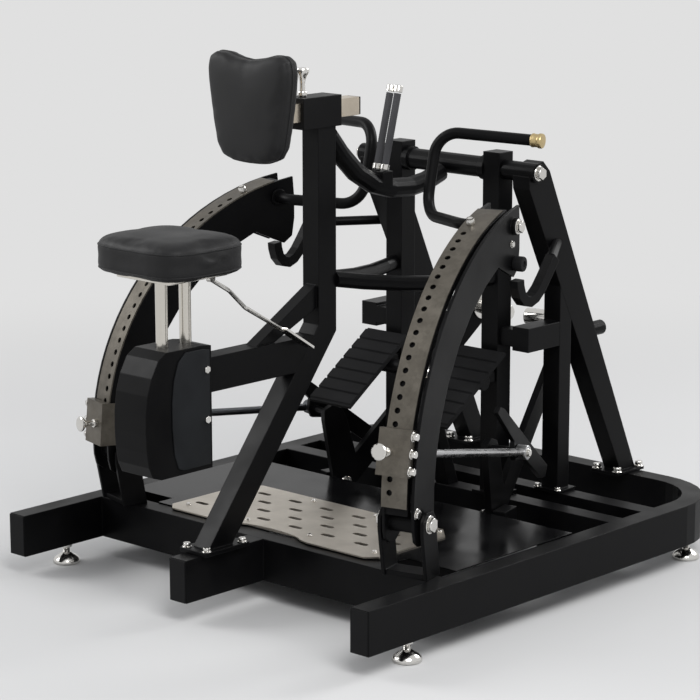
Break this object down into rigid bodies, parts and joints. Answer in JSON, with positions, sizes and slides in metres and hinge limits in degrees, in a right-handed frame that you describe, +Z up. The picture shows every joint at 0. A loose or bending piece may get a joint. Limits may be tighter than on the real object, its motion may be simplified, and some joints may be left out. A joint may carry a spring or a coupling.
{
  "type": "seated row machine",
  "caption": "Plate-loaded chest-supported seated row machine with perforated arc levers, sliding carriages and push rods on a U-shaped base frame.",
  "frame": {"origin": "on the floor, on the middle plane, at the bottom centre of the whole part's box", "axes": "+X to the user's right, +Y the way the seated user faces, +Z up"},
  "size_m": [1.3996, 1.787, 1.512],
  "materials": {
    "black_coat": "satin powder coat",
    "black_gloss": "gloss",
    "galvanised": "dull zinc",
    "stainless": "brushed",
    "chrome": "polished",
    "leather": "soft grain",
    "rubber_grip": "matt",
    "rubber": "matt",
    "cap_plastic": "matt",
    "housing": "matt coat",
    "collar": "plated",
    "steel_rod": "plated"
  },
  "bodies": {
    "frame": {"base_frame": "black_coat", "floor_sheet": "black_gloss", "step_plate": "stainless", "rail_cap_left": "cap_plastic", "rail_cap_mid": "cap_plastic", "rail_cap_right": "cap_plastic", "foot_front_left": "chrome", "foot_front_right": "chrome", "foot_rear_left": "chrome", "foot_rear_right": "chrome", "chest_column": "black_coat", "seat_housing": "housing", "spine_brace": "black_coat", "grip_left": "rubber_grip", "grip_right": "rubber_grip", "upright_left": "black_coat", "upright_right": "black_coat", "top_shaft": "black_coat", "stay_left": "black_coat", "stay_right": "black_coat", "curved_tie_left": "black_coat", "curved_tie_right": "black_coat", "footrest_bar": "black_coat", "footplate_left": "rubber", "footplate_right": "rubber", "hook_left": "black_coat", "hook_right": "black_coat", "lever_base_left": "black_coat", "lever_base_right": "black_coat", "arm_base_left": "black_coat", "arm_base_right": "black_coat"},
    "chest_slide": {"chest_bar": "stainless", "chest_pad": "leather"},
    "chest_pin": {"chest_pin": "chrome"},
    "seat": {"seat_carriage": "stainless", "seat_pad": "leather"},
    "seat_release": {"seat_release": "chrome"},
    "lever_right": {"lever_right": "black_coat", "strip_right": "galvanised", "handle_right": "black_coat", "handle_cap_right": "collar", "bumper_right": "rubber"},
    "carriage_right": {"carriage_right": "galvanised"},
    "pull_pin_right": {"pull_pin_right": "chrome"},
    "push_rod_right": {"push_rod_right": "steel_rod"},
    "weight_arm_right": {"weight_arm_right": "black_coat", "horn_right": "chrome"},
    "lever_left": {"lever_left": "black_coat", "strip_left": "galvanised", "handle_left": "black_coat", "handle_cap_left": "collar", "bumper_left": "rubber"},
    "carriage_left": {"carriage_left": "galvanised"},
    "pull_pin_left": {"pull_pin_left": "chrome"},
    "push_rod_left": {"push_rod_left": "steel_rod"},
    "weight_arm_left": {"weight_arm_left": "black_coat", "horn_left": "chrome"}
  },
  "joints": [
    {"name": "lever_swing_right", "type": "hinge", "parent": "frame", "child": "lever_right", "pos_m": [0.55888, -0.43573, 0.33], "axis": [0.9686, 0.2487, 0], "range_deg": [0, 20]},
    {"name": "carriage_shift_right", "type": "hinge", "parent": "lever_right", "child": "carriage_right", "pos_m": [0.39127, 0.21709, 0.369], "axis": [0.9686, 0.2487, 0], "range_deg": [-48.8, 8.8]},
    {"name": "pull_pin_slide_right", "type": "slide", "parent": "carriage_right", "child": "pull_pin_right", "axis": [0.2431, -0.9467, 0.2113], "range_m": [0, 0.012], "stiffness_N_per_m": 800},
    {"name": "push_rod_pivot_right", "type": "hinge", "parent": "carriage_right", "child": "push_rod_right", "pos_m": [0.57664, -0.40638, 0.50953], "axis": [0.9686, 0.2487, 0], "range_deg": [-23, 1]},
    {"name": "weight_arm_lift_right", "type": "hinge", "parent": "frame", "child": "weight_arm_right", "pos_m": [0.29777, 0.23541, 0.155], "axis": [0.9686, 0.2487, 0], "range_deg": [0, 22]},
    {"name": "lever_swing_left", "type": "hinge", "parent": "frame", "child": "lever_left", "pos_m": [-0.55888, -0.43573, 0.33], "axis": [0.9686, -0.2487, 0], "range_deg": [0, 20]},
    {"name": "carriage_shift_left", "type": "hinge", "parent": "lever_left", "child": "carriage_left", "pos_m": [-0.39127, 0.21709, 0.369], "axis": [0.9686, -0.2487, 0], "range_deg": [-56.6, 1]},
    {"name": "pull_pin_slide_left", "type": "slide", "parent": "carriage_left", "child": "pull_pin_left", "axis": [-0.248, -0.9657, 0.0767], "range_m": [0, 0.012], "stiffness_N_per_m": 800},
    {"name": "push_rod_pivot_left", "type": "hinge", "parent": "carriage_left", "child": "push_rod_left", "pos_m": [-0.57989, -0.41903, 0.42002], "axis": [0.9686, -0.2487, 0], "range_deg": [-23, 1]},
    {"name": "weight_arm_lift_left", "type": "hinge", "parent": "frame", "child": "weight_arm_left", "pos_m": [-0.29777, 0.23541, 0.155], "axis": [0.9686, -0.2487, 0], "range_deg": [0, 22]},
    {"name": "chest_pad_slide", "type": "slide", "parent": "frame", "child": "chest_slide", "axis": [0, 1, 0], "range_m": [-0.07, 0.09]},
    {"name": "chest_pin_lift", "type": "slide", "parent": "frame", "child": "chest_pin", "axis": [0, 0, 1], "range_m": [0, 0.012], "stiffness_N_per_m": 800},
    {"name": "seat_height", "type": "slide", "parent": "frame", "child": "seat", "axis": [0, 0, 1], "range_m": [-0.16, 0.06]},
    {"name": "seat_release_press", "type": "hinge", "parent": "seat", "child": "seat_release", "pos_m": [0.062, -0.6515, 0.94], "axis": [1, 0, 0], "range_deg": [0, 8], "stiffness_Nm_per_rad": 20}
  ],
  "couplings": [
    {"joint": "push_rod_pivot_right", "follows": "lever_swing_right", "ratio": -1.096},
    {"joint": "weight_arm_lift_right", "follows": "lever_swing_right", "ratio": 0.945},
    {"joint": "push_rod_pivot_left", "follows": "lever_swing_left", "ratio": -1.03},
    {"joint": "weight_arm_lift_left", "follows": "lever_swing_left", "ratio": 0.439}
  ]
}
